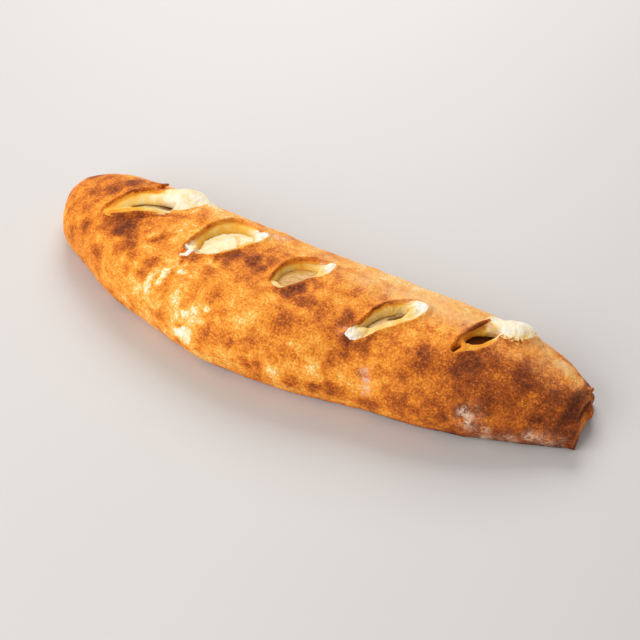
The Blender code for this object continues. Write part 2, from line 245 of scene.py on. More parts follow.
# ---- where the looks change
# A shade is an amount, and along what it grows in, from where to where: x, z, across (from the
# roll's middle line) or up (as a share of its height). These make the crust browner or paler.
BASE_BROWN = 0.24
BROWN_SHADES = (
    (0.24, ("x", 70, 140)),
    (-0.11, ("x", 183, 186)),
    (0.12, ("x", -85, -140)),
    (-0.05, ("across", 0, -20), ("x", -85, -60), ("x", 60, 10)),
    (0.07, ("up", 0.55, 0.9), ("x", -80, -40)),
    (-0.06, ("across", 10, 40)),
    # painted shade at the foot, darker towards the floor
    (0.12, ("z", 6, 0)),
)
# Darker towards the foot of the roll: painted shade where it curves under towards the floor.
FOOT_PAINTED_SHADE = (
    (0.22, ("z", 9, 1.5), ("x", -60, -10)),
    (0.12, ("z", 20, 6), ("x", 105, 135)),
)
# And these paint a pale peach sheen, a painted highlight, on the crest of its back and at its rounded tip.
CREST_SHEEN = ((0.25, ("x", 130, 150)), (0.6, ("x", -160, -178)))
TIP_SHEEN = ((0.5, ("x", -176, -187)),)
SHEEN_MOST = 0.85                              # the most painted sheen that it gets
FLAP_BROWN = (0.22, 0.04)                  # how much browner flaps are, left and right of RIGHT_PART
RIGHT_PART = 100.0
FIRST_FLAP, FIRST_REACH = (-113, 0), 27.0      # middle and reach of the first slit's front flap
PULLED_WAY = np.array((-0.50, 0.70, 0.50), dtype=np.float32)     # its pulled dough faces this way

# Spots: x, y, z, radius, strength. First the browned ones and the pale ones.
BROWN_SPOTS = (
    (-120, -11, 41, 9, 1), (-111, -12, 42, 10, 1.2), (-127, -13, 39, 6, .6), (-145, 17, 39, 7, .5),
    (-135, 25, 39, 7, .55), (-125, 33, 37, 7, .5), (-140, -19, 33, 4, .5), (-119, -33, 30, 5, .45),
    (-78, -30, 42, 5, .6), (-78, -38, 38, 4, .5), (-83, -15, 44, 5, .45), (-26, -33, 43, 5, .4),
    (-21, -53, 29, 5, .5), (-6, -52, 30, 5, .4), (9, -47, 34, 7, .45), (19, -31, 43, 8, .6),
    (11, -10, 47, 6, .8), (22, -14, 46, 6, .75), (-34, -3, 46, 6, .7), (-24, 0, 47, 8, .75),
    (-13, 5, 47, 6, .5), (9, -52, 20, 5, .4), (34, -48, 17, 6, .6), (48, -44, 16, 5, .4),
    (19, -48, 32, 5, .35), (-73, 18, 45, 6, .4), (49, -9, 45, 5, .45), (57, -23, 41, 6, .85),
    (65, -22, 40, 6, .7), (53, -37, 34, 5, .35), (54, 28, 42, 4, .5), (63, 27, 42, 4, .4),
    (100, -10, 41, 7, .7), (100, -15, 40, 6, .6), (94, -33, 25, 6, .65), (61, -40, 17, 6, .5),
    (80, -36, 15, 6, .5), (122, -1, 38, 9, .8), (119, -8, 38, 8, .65), (126, -10, 35, 8, .7),
    (110, -2, 42, 5, .4), (130, 12, 38, 7, .4), (151, 16, 33, 9, .7), (156, 11, 30, 7, .55),
    (166, 5, 25, 7, .7), (154, 35, 31, 5, .5), (164, 33, 27, 4, .5), (141, -11, 29, 9, .4),
    (114, -28, 13, 6, .4), (176, 27, 23, 7, .7), (151, -9, 25, 8, .35), (-110, -6, 43, 8, .8),
    (-103, -28, 39, 6, .5), (-138, -22, 32, 4, .4), (-142, 13, 39, 6, .6), (32, -15, 45, 7, .35),
    (59, -28, 39, 5, .6), (15, -51, 27, 5, .4), (171, 12, 25, 7, .5), (154, -14, 16, 9, .4),
    (142, -22, 16, 7, .3), (-104, -17, 42, 8, .95), (-97.7, -25, 40.6, 5, .7), (-92, -30, 39, 4, .55),
    (-41, -11, 47, 4, .55), (-35, -6, 47, 5, .75), (-134, 30, 37.5, 6, .5), (-131, 17, 40, 5, .45),
    (0, -10, 47, 5, .4), (-106, -10, 43, 5, 1.4), (-35, -11, 47, 5, .6), (28, -27, 43, 6, .4),
    (38, -21, 44, 6, .35), (96, -34, 21, 6, .55), (107, -32, 21, 6, .5), (121, -29, 18, 6, .5),
    (172, -1, 19, 7, .5), (164, -7, 18, 6, .4), (172, 6, 23, 5, .45), (55, 23, 44, 6, .3),
    (-17, -54, 28, 5, .35), (103, -5, 42, 4, .5), (125, 14, 39, 5, .4), (-53, -17, 46, 5, .4),
    (-38, -22, 46, 5, .35), (179, 14.5, 22.7, 5, .5), (183, 11, 20, 4.5, .5), (185, 7, 16.7, 4, .4),
    (178, 7, 21, 5, .5), (173, 2, 21, 6, .55), (182, 4, 16, 4, .35), (56.4, 5.3, 45.4, 4, .4),
    (59, 15.6, 44.8, 4, .5), (61, -10, 44.3, 3, .35), (-17.5, -4, 47, 5, .5), (118, -32, 19, 5, .55),
    (130, -22, 25, 5, 1), (138, -17, 26, 4, .6), (166, -3, 21, 6, .9), (174, 0, 18, 5, .7),
    (172, 17, 26, 6, .9), (164, 23, 29, 6, .6), (15, -53, 23, 5, .7), (15, -6, 47, 4.5, 1.2),
    (-30, -6, 47, 5, .4), (49, -15, 44, 5, .6), (-14, -4, 47, 4, .7), (2, -12, 47, 3.5, .6),
    (-153, 8, 38, 6, .4),
)
PALE_SPOTS = (
    # Painted highlights: the first five pale spots lie along the wrinkle ridges, and those at (-37.5,
    # -55.5) and (-40, -55) paint a bright glint low on the front.
    (-63.1, -38, 39.4, 2.6, 1), (-62.8, -33, 41.6, 2.4, 1), (-55.3, -29, 43.5, 2.2, 1),
    (-55.6, -24, 44.6, 2.2, 1), (-71.6, -38, 38, 2.2, .8), (-38, -49, 33.6, 2.6, .9),
    (-32, -46.5, 36.6, 2.4, .9), (-26, -43, 39, 2.2, .8), (-37.5, -55.5, 22, 5, 1.8),
    (-84, -14, 44.6, 2.5, .4), (-76, -3, 45.5, 2.5, .4), (-40, -55, 20, 4.5, 1),
    (-64, -34, 42, 4.5, .8), (-63, -39, 39, 3, .6), (-57, -26, 44, 4, .7), (-34, -46, 36, 5, .6),
    (-42, -53, 28, 5, .5), (-71, -43, 35, 3, .6), (-113, -29, 36, 4, .4), (-101, -43, 21, 5, .4),
    (25, -50, 20, 5, .5), (17, -51, 22, 5, .4), (46, -41, 32, 5, .4), (-170, -8, 21, 7, .8),
    (-94, 0, 45, 8, .5), (-88, -11, 44, 5, .4), (-67, 6, 46, 7, .5), (-25, 8, 46, 6, .6),
    (-9, -16, 47, 5, .5), (17, -28, 44, 8, .5), (2, -44, 38, 7, .5), (10, -38, 41, 6, .4),
    (51, -27, 41, 6, .6), (31, -42, 35, 6, .4), (91, 6, 43, 10, .5), (103, 2, 42, 8, .4),
    (98, -20, 38, 5, .4), (145, -5, 31, 5, .4), (-128, -2.6, 40, 4, .5), (-64, -24, 44, 4, .4),
    (76, -13, 42, 5, .7), (73, -19, 41, 4, .5), (-101, 0, 44, 4, .4), (-81, 18, 44, 5, .5),
    (-124, -11, 40, 4, .45), (-25, 18, 45, 5, .55), (49, -30, 39, 6, .5), (14, -39, 40, 5, .35),
    (110, 0, 41, 4, .8), (109, 14, 42, 5, .6), (99, 12, 43, 5, .4), (135, 28, 37, 5, .5),
    (129, -11, 34, 5, .4), (162, 2, 27, 6, .4), (150, -9, 26, 6, .3), (-132, 17, 40, 4, .4),
    (20, -4, 47, 4, .4), (81, -37, 20, 4, .35), (92, -24, 37, 4, .35), (-46, -43, 38, 5, .35),
    (-24.4, 14.7, 46, 5, .7), (92, 34, 40, 5, .4), (100, 38.6, 38, 5, .4), (110, 6, 42, 3.5, .45),
    (108, -2, 41.6, 4, .6), (-1.5, -13.7, 47, 4, .4), (146, 43, 30.7, 6, .8), (154, 41, 29.6, 6, .6),
    (162, 38.5, 28, 6, .7), (169, 36.4, 25.8, 6, .7), (176, 35.5, 23.5, 5, .6), (150, 35, 33, 11, .45),
    (163, 30, 29.5, 10, .45), (112, 2, 41, 4, .8), (90, 8, 44, 6, .7), (79, -30, 35, 6, .7),
    (25, -3, 47, 4, .7), (-5, -15, 47, 4, .7), (21, -34, 42, 5, .5), (-30, 8, 47, 5, .5),
    (-58, -36, 41, 4, .5), (-130, -14, 38, 5, .5), (139, 24, 36, 6, .5), (160, 6, 29, 5, .5),
    (164, 6, 27, 5, .5), (132, -10, 34, 4, .4), (132, 25, 38, 5, .5),
)
# A painted highlight low on the front in crumb colour, painted sheen on the back's crest, gold on the last
# slit's wall, dark filling, flour.
# A painted highlight: a white glint low on the front, in crumb colour.
FRONT_GLINT_SPOTS = ((-38.8, -54.5, 22, 3.4, .8), (-36.3, -54, 26, 2.4, .62))
SHEEN_SPOTS = (
    (130, 23, 38, 8, .4), (141, 28, 35, 9, .6), (153, 29, 32, 9, .6), (175, 30, 24, 5, .7),
    (146, 43, 30.7, 9, 1), (154, 41, 29.6, 9, 1), (162, 38.5, 28, 9, 1), (169, 36.4, 25.8, 8, 1),
    (176, 35.5, 23.5, 7, .9), (150, 35, 33, 12, .6), (162, 30, 29.5, 12, .6),
)
AMBER_SPOTS = ((119.3, 32.3, 39, 2.8, 1), (116.3, 30.3, 37.6, 3, 1), (115, 28, 37, 3.2, .9),
               (122.2, 32.6, 39.2, 2.6, .65))
DARK_FILLING_SPOTS = ((-102.4, 20.4, 35.6, 4.2, 1),)
FLOUR_SPOTS = (
    (74.3, -32, 33, 2.5, .8), (76.5, -34.2, 30, 2.5, .9), (77, -36, 26, 2.5, .8),
    (77.4, -37.7, 22, 2.5, .8), (131, -21.4, 24.4, 3, 1), (134.5, -21, 22, 3.2, 1),
    (136.5, -23.8, 18, 3, .9), (135, -21, 20, 7, .35),
    (144, -17, 14, 3, .8), (147, -19, 11, 3, .7), (144, -16, 6, 4, .7), (166, -7, 12, 3.5, .8),
    (171, -6.5, 11.5, 3.2, .8), (176, -6, 11, 3, .7), (156, -11, 6, 6, .4), (176, -2, 6, 6, .4),
    (135, -22, 19, 3.5, 1), (138, -25.4, 16, 5, 1), (168.6, -11.5, 12.8, 3, .8),
    (175.6, -6.8, 11.6, 3, .9), (183, -2.6, 10.4, 3, .8), (-29.5, 25, 43, 3, .8),
    (-25, 28.4, 42, 3, .7), (-21, 31.5, 41, 3, .6), (86, 22, 43, 4, .45), (52, -19, 43, 3, .35),
)

NOISE_CELLS = 32
NOISE_TABLE = np.random.default_rng(7).standard_normal((*[NOISE_CELLS] * 3, 3)).astype(np.float32)
NOISE_TABLE /= np.linalg.norm(NOISE_TABLE, axis=-1, keepdims=True)


# ---- small helpers
def metres(points):
    return (np.asarray(points, dtype=np.float64) - FOOTPRINT_MIDDLE) * 0.001


def gradient_noise(points, span, seed=0):
    """Smooth noise of about -1 to 1 at points, with swells of one span."""
    p = np.asarray(points, dtype=np.float32) / np.float32(span) + np.float32(seed * 7.31 + 64.0)
    cell = np.floor(p).astype(np.int32)
    f = p - cell
    u = f * f * f * (f * (f * 6 - 15) + 10)
    total = np.zeros(p.shape[:-1], dtype=np.float32)
    for corner in itertools.product((0, 1), repeat=3):
        x, y, z = ((cell[..., k] + corner[k]) % NOISE_CELLS for k in range(3))
        slope = NOISE_TABLE[x, y, z]
        height = sum(slope[..., k] * (f[..., k] - corner[k]) for k in range(3))
        total += height * math.prod(u[..., k] if corner[k] else 1 - u[..., k] for k in range(3))
    return total * 1.6


def fractal(points, span, octaves, seed=0):
    """Noise with finer and fainter noise on top of it."""
    return sum(gradient_noise(points, span / 2.0 ** octave, seed + octave) * 0.5 ** octave
               for octave in range(octaves))


def swells(points, table):
    """Noise of a few heights, spans and seeds, added up."""
    return sum(height * gradient_noise(points, span, seed) for height, span, seed in table)


def smoothstep(low, high, value):
    """0 up to low, rising to 1 at high."""
    t = np.clip((value - low) / (high - low), 0.0, 1.0)
    return t * t * (3 - 2 * t)


def fade(low, high, value):
    """1 up to low, falling to 0 at high."""
    return 1.0 - smoothstep(low, high, value)


def bell(value, width):
    return np.exp(-(value / width) ** 2)


def smooth_min(a, b, k):
    h = np.maximum(k - np.abs(a - b), 0.0) / k
    return np.minimum(a, b) - h * h * k * 0.25


def smooth_max(a, b, k):
    return -smooth_min(-a, -b, k)


def curve(knots, values, place):
    """Value at a place on a smooth curve through some values at their knots."""
    slopes = np.gradient(values, knots)
    i = np.clip(np.searchsorted(knots, place) - 1, 0, len(knots) - 2)
    span = knots[i + 1] - knots[i]
    t = (place - knots[i]) / span
    return ((1 + 2 * t) * (1 - t) ** 2 * values[i] + t * (1 - t) ** 2 * span * slopes[i]
            + t * t * (3 - 2 * t) * values[i + 1] + t * t * (t - 1) * span * slopes[i + 1])


def along(column, x):
    """One column of SECTIONS at x."""
    return curve(SECTIONS[:, 0], SECTIONS[:, column], x)


def read_grid(values, cells):
    """Values of a grid at places given in cells, read evenly between its points."""
    cells = np.clip(cells, 0, np.array(values.shape) - 1.001)
    i = cells.astype(np.int32)
    f = (cells - i).astype(np.float32)
    total = 0.0
    for corner in itertools.product((0, 1), repeat=values.ndim):
        share = math.prod(f[:, k] if step else 1 - f[:, k] for k, step in enumerate(corner))
        total = total + share * values[tuple(i[:, k] + step for k, step in enumerate(corner))]
    return total


def closing(distance):
    """How far the rounded end has opened at a distance from its tip, 0 to 1."""
    left = np.clip(1.0 - distance / TIP_ROUND, 0.0, 1.0)
    return (1.0 - left ** ROUND_POWER) ** (1.0 / ROUND_POWER)


def top_height(x, y):
    """Height of the roll's top."""
    offset = np.minimum(np.abs(y - along(1, x)) / along(2, x), 1.0)
    rise = (1.0 - offset ** CROWN_POWER) ** (1.0 / CROWN_POWER)
    return along(3, x) * (WIDEST_AT + (1.0 - WIDEST_AT) * rise)


def unit_section():
    """Points round a section of the roll, of half width 1 and height 1."""
    turns = np.linspace(0.0, np.pi, RING_CROWN + 1)
    across = np.sign(np.cos(turns)) * np.abs(np.cos(turns)) ** (2.0 / CROWN_POWER)
    up = WIDEST_AT + (1.0 - WIDEST_AT) * np.abs(np.sin(turns)) ** (2.0 / CROWN_POWER)
    quarter = np.linspace(0.0, np.pi / 2, RING_SIDE + 1)[1:]
    side = [(1.0 - UNDERCUT * (1.0 - np.cos(a)), WIDEST_AT * (1.0 - np.sin(a))) for a in quarter]
    flat = np.linspace(UNDERCUT - 1.0, 1.0 - UNDERCUT, RING_BASE + 1)[1:-1]
    return [*zip(across, up), *((-a, b) for a, b in side), *((a, 0.0) for a in flat), *side[::-1]]


def roll_ring(x):
    share = closing(x - TIP_X)
    half_width, height = along(2, x) * share, along(3, x) * share ** ROUND_RISE
    lift = TIP_LIFT * (1.0 - share) ** TIP_CURL
    drawn = max(0.0, 1.0 - (FOLD_X - x) / FOLD_REACH)
    ring = []
    for across, up in unit_section():
        swell = noise.noise(Vector((x / UNEVEN_SPAN, across * UNEVEN_TURNS, up * UNEVEN_TURNS)))
        size = 1.0 + UNEVEN * swell * min(up / EVEN_BELOW, 1.0)
        ring.append((x - drawn * (FOLD_SKEW * across + FOLD_LEAN * up),
                     along(1, x) + half_width * across * size, lift + height * up * size))
    return ring


def roll_distance():
    """Distance to the whole roll, before anything is cut or joined, at each grid point."""
    share = np.linspace(0.0, 1.0, STATIONS) ** 1.15
    rings = np.array([roll_ring(x) for x in TIP_X + 0.3 + (FOLD_X - TIP_X - 0.3) * share])
    count, around = rings.shape[:2]
    points = np.concatenate([rings.reshape(-1, 3), rings[:1].mean(axis=1), rings[-1:].mean(axis=1)])
    s, a = np.meshgrid(np.arange(count - 1), np.arange(around), indexing="ij")
    b = (a + 1) % around
    quads = np.stack((s * around + a, s * around + b, (s + 1) * around + b, (s + 1) * around + a), -1)
    a = np.arange(around)
    b = (a + 1) % around
    last = (count - 1) * around
    fans = np.concatenate([np.stack((b, a, np.full(around, count * around)), -1),
                           np.stack((last + a, last + b, np.full(around, count * around + 1)), -1)])
    grid = openvdb.FloatGrid.createLevelSetFromPolygons(
        points=((points - LOW) / VOXEL).astype(np.float32), triangles=fans.astype(np.uint32),
        quads=quads.reshape(-1, 4).astype(np.uint32), transform=openvdb.createLinearTransform(1.0),
        exBandWidth=OUT_BAND, inBandWidth=IN_BAND)
    field = np.zeros(SHAPE, dtype=np.float32)
    grid.copyToArray(field)
    return field * np.float32(VOXEL)


class Window:
    """A box of the grid round some points, with the coordinates of its grid points."""

    def __init__(self, points, margin):
        points = np.asarray(points, dtype=np.float64)
        low = np.maximum(np.floor((points.min(0) - margin - LOW) / VOXEL), 0).astype(int)
        high = np.minimum(np.ceil((points.max(0) + margin - LOW) / VOXEL) + 1, SHAPE).astype(int)
        self.where = tuple(slice(a, b) for a, b in zip(low, high))
        axes = [LOW[k] + VOXEL * np.arange(low[k], high[k], dtype=np.float32) for k in range(3)]
        self.x, self.y, self.z = np.meshgrid(*axes, indexing="ij", sparse=True)

    def points(self):
        return np.stack(np.broadcast_arrays(self.x, self.y, self.z), axis=-1)


def ellipsoid(window, middle, radii, turn=0.0):
    """Near distance to a lump turned about the vertical."""
    c, s = math.cos(math.radians(turn)), math.sin(math.radians(turn))
    x, y, z = window.x - middle[0], window.y - middle[1], window.z - middle[2]
    u, v = c * x + s * y, -s * x + c * y
    k0 = np.sqrt((u / radii[0]) ** 2 + (v / radii[1]) ** 2 + (z / radii[2]) ** 2) + 1e-6
    k1 = np.sqrt((u / radii[0] ** 2) ** 2 + (v / radii[1] ** 2) ** 2 + (z / radii[2] ** 2) ** 2) + 1e-6
    return (k0 * (k0 - 1.0) / k1).astype(np.float32)


def tube(window, path, radii, closed=False):
    """Distance to a tube along a path, with a radius at each of its points."""
    path = np.asarray(path, dtype=np.float32)
    radii = np.broadcast_to(np.asarray(radii, dtype=np.float32), len(path))
    best = None
    for i in range(len(path) if closed else len(path) - 1):
        after = (i + 1) % len(path)
        start, d = path[i], path[after] - path[i]
        x, y, z = window.x - start[0], window.y - start[1], window.z - start[2]
        t = np.clip((x * d[0] + y * d[1] + z * d[2]) / max(float(d @ d), 1e-9), 0.0, 1.0)
        away = np.sqrt((x - t * d[0]) ** 2 + (y - t * d[1]) ** 2 + (z - t * d[2]) ** 2)
        away = away - (radii[i] + (radii[after] - radii[i]) * t)
        best = away if best is None else np.minimum(best, away)
    return best


def outline_distance(xs, ys, outline):
    """Signed distance in plan to a closed outline, negative inside."""
    x, y = xs[:, None], ys[None, :]
    best = np.full((len(xs), len(ys)), 1e9, dtype=np.float32)
    inside = np.zeros(best.shape, dtype=bool)
    for a, b in zip(outline, np.roll(outline, -1, axis=0)):
        dx, dy = b - a
        t = np.clip(((x - a[0]) * dx + (y - a[1]) * dy) / max(dx * dx + dy * dy, 1e-9), 0.0, 1.0)
        best = np.minimum(best, (x - a[0] - t * dx) ** 2 + (y - a[1] - t * dy) ** 2)
        if a[1] != b[1]:
            crosses = (a[1] > y) != (b[1] > y)
            inside ^= crosses & (x < a[0] + (y - a[1]) * dx / dy)
    return np.where(inside, -1.0, 1.0) * np.sqrt(best)


def lens_frame(lens):
    """Left end, chord and the direction across it to the back, of a lens."""
    chord = np.subtract(lens.right, lens.left)
    return np.array(lens.left), chord, np.array((-chord[1], chord[0])) / np.hypot(*chord)


def in_lens(lens, xs, ys):
    """The share of a lens's chord at points in plan, and how far across from it they lie."""
    start, chord, outward = lens_frame(lens)
    x, y = xs[:, None] - start[0], ys[None, :] - start[1]
    share = np.clip((x * chord[0] + y * chord[1]) / (chord @ chord), 0.0, 1.0)
    return share, x * outward[0] + y * outward[1]


def edge(values, turn):
    """How far an edge lies across at a turn of 0 to pi along its lens."""
    return curve(np.linspace(0.0, np.pi, len(values) + 2), np.array((0.0, *values, 0.0)), turn)


def lens_outline(lens):
    """Points round a lens, from its left end along the back and home at the front."""
    start, chord, outward = lens_frame(lens)
    turns = np.linspace(0.0, 2 * np.pi, SLIT_STEPS, endpoint=False)
    across = np.where(turns <= np.pi, edge(lens.back, turns), edge(lens.front, 2 * np.pi - turns))
    return start + np.outer(1.0 - np.cos(turns), chord) / 2.0 + np.outer(across, outward)


def between(values, share):
    """A value at a share of 0 to 1, evenly through some values."""
    return np.interp(share, np.linspace(0.0, 1.0, len(values)), values)


class Plan:
    """Maps over the grid's plan of where the slits open, how deep, and how their dough looks."""

    def __init__(self):
        self.maps = {name: np.full(SHAPE[:2], far, dtype=np.float32) for name, far in (
            ("rim", FAR), ("gap", FAR), ("leaf", FAR), ("dough", 0.0), ("filling", 30.0),
            ("gold", 0.0), ("olive", 0.0), ("frost", 0.0), ("lip", 0.0))}
        for slit in SLITS:
            self.add_slit(slit)
        for lens in PITS:
            part, xs, ys = self.window(lens, 4.0)
            away = outline_distance(xs, ys, lens_outline(lens))
            self.maps["gap"][part] = np.minimum(self.maps["gap"][part], away)
            self.maps["filling"][part] += PIT_DEEPER * fade(-0.8, 1.2, away)
        for lens in LEAVES:
            part, xs, ys = self.window(lens, 8.0)
            away = outline_distance(xs, ys, self.ragged(lens, 0.5))
            self.maps["leaf"][part] = np.minimum(self.maps["leaf"][part], away)

    def window(self, lens, margin):
        """The part of the grid's plan round a lens, and where its points are along x and y."""
        outline = lens_outline(lens)
        low, high = outline.min(0) - margin, outline.max(0) + margin
        part = tuple(slice(*np.searchsorted(GRID_AXES[k], (low[k], high[k]))) for k in (0, 1))
        return part, GRID_AXES[0][part[0]], GRID_AXES[1][part[1]]

    def ragged(self, lens, size):
        """Outline of a lens, torn a little."""
        outline = lens_outline(lens)
        flat = np.column_stack((outline, np.zeros(len(outline))))
        torn = np.stack((gradient_noise(flat, 4.0, 71), gradient_noise(flat, 4.0, 83)), axis=1)
        return outline + size * torn

    def add_slit(self, slit):
        part, xs, ys = self.window(slit.rim, 9.0)
        rim = outline_distance(xs, ys, self.ragged(slit.rim, 0.6))
        gap = outline_distance(xs, ys, self.ragged(slit.gap, 0.35))
        share, _ = in_lens(slit.rim, xs, ys)
        gap_share, across = in_lens(slit.gap, xs, ys)
        steps = np.linspace(0.0, 1.0, 41)
        turns = np.arccos(1.0 - 2.0 * steps)
        back = np.interp(gap_share, steps, edge(slit.gap.back, turns))
        front = np.interp(gap_share, steps, edge(slit.gap.front, turns))
        behind = smoothstep(-1.5, 1.5, across - (back + front) / 2.0)
        inward = np.clip(-rim, 0.0, None) / (np.clip(-rim, 0.0, None) + np.clip(gap, 0.0, None) + 0.01)
        deep = slit.deep[1] + (slit.deep[0] - slit.deep[1]) * behind
        gap_depth = np.clip((across - front) / np.maximum(back - front, 0.5), 0, 1)
        at_edge = slit.gold[3] * fade(0.0, 0.4, inward) * behind
        values = {
            "rim": rim, "gap": gap,
            "dough": RIM_DROP + (deep - RIM_DROP) * inward ** WALL_BEND,
            "filling": between(slit.filling, gap_depth),
            "gold": between(slit.gold[:3], share) + at_edge,
            # painted shade: olive towards the gap, behind it
            "olive": slit.olive * smoothstep(0.35, 1.0, inward) * behind,
            "frost": (slit.frost[0] * fade(0.02, 0.20, share)
                      + slit.frost[1] * smoothstep(0.78, 0.95, share)),
            "lip": slit.lip[0] * smoothstep(0.0, 4.0, across - back),
        }
        nearest = rim < self.maps["rim"][part]
        for name, value in values.items():
            self.maps[name][part] = np.where(nearest, value, self.maps[name][part])

    def at(self, name, points):
        """A map's values at points."""
        return read_grid(self.maps[name], (points[:, :2] - LOW[:2]) / VOXEL)


def slit_lip(window, slit, seed):
    """Thin raised edge of the crust round a slit, higher at the back."""
    path = lens_outline(slit.rim)
    heading = np.roll(path, -1, axis=0) - np.roll(path, 1, axis=0)
    outward = np.stack((-heading[:, 1], heading[:, 0]), axis=1)
    outward /= np.linalg.norm(outward, axis=1)[:, None]
    back = np.clip(np.sin(np.linspace(0.0, 2 * np.pi, SLIT_STEPS, endpoint=False)), 0.0, 1.0)
    ragged = np.random.default_rng(seed).uniform(-0.3, 0.3, SLIT_STEPS)
    ragged = (ragged + np.roll(ragged, 1) + np.roll(ragged, -1)) / 1.6
    xy = path + outward * 0.5
    z = top_height(xy[:, 0], xy[:, 1]) - 0.5 + slit.lip[1] * back + ragged
    return tube(window, np.column_stack((xy, z)), LIP_RADIUS + 0.4 * back, closed=True)


# ---- the fields
def raised(path):
    """A path at its heights above the crust, and the window round it."""
    path = [(x, y, float(top_height(x, y)) + above) for x, y, above in path]
    return path, Window(path, 5.0)


def join(field, window, shape, blend):
    """Join a shape softly to a field."""
    field[window.where] = smooth_min(field[window.where], shape, blend)


def mark(field, window, shape):
    """Keep in a field how near a shape is."""
    field[window.where] = np.minimum(field[window.where], shape)


def fold_end(crust):
    """Add the folded end to the crust."""
    ends = Window(FOLD_SPACE, 8.0)
    for x, y, z, *radii in FOLD_ROLLS:
        join(crust, ends, ellipsoid(ends, (x, y, z), radii), ROLL_BLEND)
    join(crust, ends, tube(ends, *FOLD_RIDGE), RIDGE_BLEND)
    join(crust, ends, tube(ends, *FOLD_CORNER), THIN_BLEND)
    seam_y, seam_z, fall = FOLD_SEAM
    below = (seam_z - fall * (ends.y - seam_y) - ends.z) * 0.95
    swell = FOLD_SWELL * bell(below - 4.5, 3.6) - FOLD_GROOVE * bell(below, 1.0)
    swell = swell - FOLD_SLOPE * np.clip(-below, 0.0, 8.0)
    for y, z, radius, height in FOLD_NUBS:
        swell = swell + height * np.exp(-((ends.y - y) ** 2 + (ends.z - z) ** 2) / radius ** 2)
    swell = swell + 0.7 * gradient_noise(ends.points(), 6.0, 29)
    crust[ends.where] -= swell * smoothstep(178.5, 184.0, ends.x)


def add_raw_dough(crust):
    """Join the raw lumps and forks to the crust, and give how near they are."""
    raw = np.full(SHAPE, FAR, dtype=np.float32)
    for x, y, up, *radii, turn in RAW:
        middle, size = (x, y, float(top_height(x, y)) + up), max(radii)
        window = Window([middle], size + 5.0)
        lump = ellipsoid(window, middle, radii, turn)
        lump += 0.35 * gradient_noise(window.points(), 2.6, 17) * np.float32(3.0 / size + 0.3)
        join(crust, window, lump, RAW_BLEND if size > RAW_LARGE else RAW_FINE)
        mark(raw, window, lump)
    for path, radii in FORKS:
        path, window = raised(path)
        fork = tube(window, path, radii) + 0.25 * gradient_noise(window.points(), 2.2, 19)
        join(crust, window, fork, FORK_BLEND)
        mark(raw, window, fork)
    return raw


def add_flaps(crust):
    """Join the raised flaps to the crust, and give how near they are."""
    flap = np.full(SHAPE, FAR, dtype=np.float32)
    for path, radii in FLAPS:
        path, window = raised(path)
        curl = tube(window, path, radii)
        if path[0][0] > CRUMBLY_FROM:
            curl = curl + 0.75 * gradient_noise(window.points(), 2.6, 27)
        join(crust, window, curl, THIN_BLEND)
        mark(flap, window, curl)
    return flap


def make_fields(plan):
    """Fields of the roll, the crust, its raised flaps, its raw lumps and the filling."""
    outer = roll_distance()
    crust = outer.copy()
    fold_end(crust)
    for index, slit in enumerate(SLITS):
        path = lens_outline(slit.rim)
        window = Window(np.column_stack((path, top_height(path[:, 0], path[:, 1]))), 7.0)
        join(crust, window, slit_lip(window, slit, 40 + index), LIP_BLEND)
    # the torn hollow of each slit
    rim, gap, dough, risen = (plan.maps[name][:, :, None] for name in ("rim", "gap", "dough", "filling"))
    x, _, z = np.meshgrid(*GRID_AXES, indexing="ij", sparse=True)
    above = np.where(z > SLITS_ABOVE, -2.0 * FAR, 2.0 * FAR).astype(np.float32)
    hollow = np.maximum(np.maximum(rim, -outer - dough), above)
    crust = smooth_max(crust, -hollow, HOLLOW_BLEND)
    raw = add_raw_dough(crust)
    flap = add_flaps(crust)
    cut = np.maximum(np.maximum(gap, -outer - SLIT_DEEP), above)
    crust = smooth_max(crust, -cut, CUT_BLEND)
    for path, radius in STRANDS:
        path, window = raised(path)
        join(crust, window, tube(window, path, radius), THIN_BLEND)
    # the inside full of filling, which runs up into the slits
    ends_in = np.maximum(TIP_X + END_WALL - x, x - (FOLD_X - END_WALL)).astype(np.float32)
    crust = smooth_max(crust, -np.maximum(outer + WALL, ends_in), INSIDE_BLEND)
    room = (FILL_GAP + FILL_HEADROOM * smoothstep(22.0, 34.0, z)).astype(np.float32)
    filling = np.maximum(outer + WALL + room, ends_in + FILL_GAP)
    risen = np.maximum(np.maximum(outer + risen, gap - 2.0), above)
    filling = smooth_min(filling, risen, FILLING_BLEND)
    return outer, crust, flap, raw, np.maximum(filling, FILL_CLEAR - crust)


def field_mesh(name, field):
    """Smoothed mesh of where a field is zero."""
    grid = openvdb.FloatGrid()
    grid.background = 3.0
    grid.copyFromArray(np.clip(field / VOXEL, -3.0, 3.0).astype(np.float32))
    points, triangles, quads = grid.convertToPolygons(isovalue=0.0, adaptivity=0.0)
    points = points * VOXEL + LOW
    mesh = bpy.data.meshes.new(name)
    corners = np.concatenate((triangles.ravel(), quads.ravel())).astype(np.int32)
    sizes = np.concatenate((np.full(len(triangles), 3), np.full(len(quads), 4))).astype(np.int32)
    mesh.vertices.add(len(points))
    mesh.vertices.foreach_set("co", points.astype(np.float32).ravel())
    mesh.loops.add(len(corners))
    mesh.loops.foreach_set("vertex_index", corners)
    mesh.polygons.add(len(sizes))
    mesh.polygons.foreach_set("loop_start", np.concatenate(([0], np.cumsum(sizes)[:-1])).astype(np.int32))
    mesh.update(calc_edges=True)
    mesh.validate()
    smooth_vertices(mesh, SMOOTH_ROUNDS)
    return mesh


def sample(field, points):
    """Values of a field at points."""
    return read_grid(field, (points - LOW) / VOXEL)


def vertex_array(mesh, what="co"):
    """The places of a mesh's vertices, or their normals."""
    values = np.empty(len(mesh.vertices) * 3, dtype=np.float32)
    if what == "co":
        mesh.vertices.foreach_get("co", values)
    else:
        mesh.vertex_normals.foreach_get("vector", values)
    return values.reshape(-1, 3)


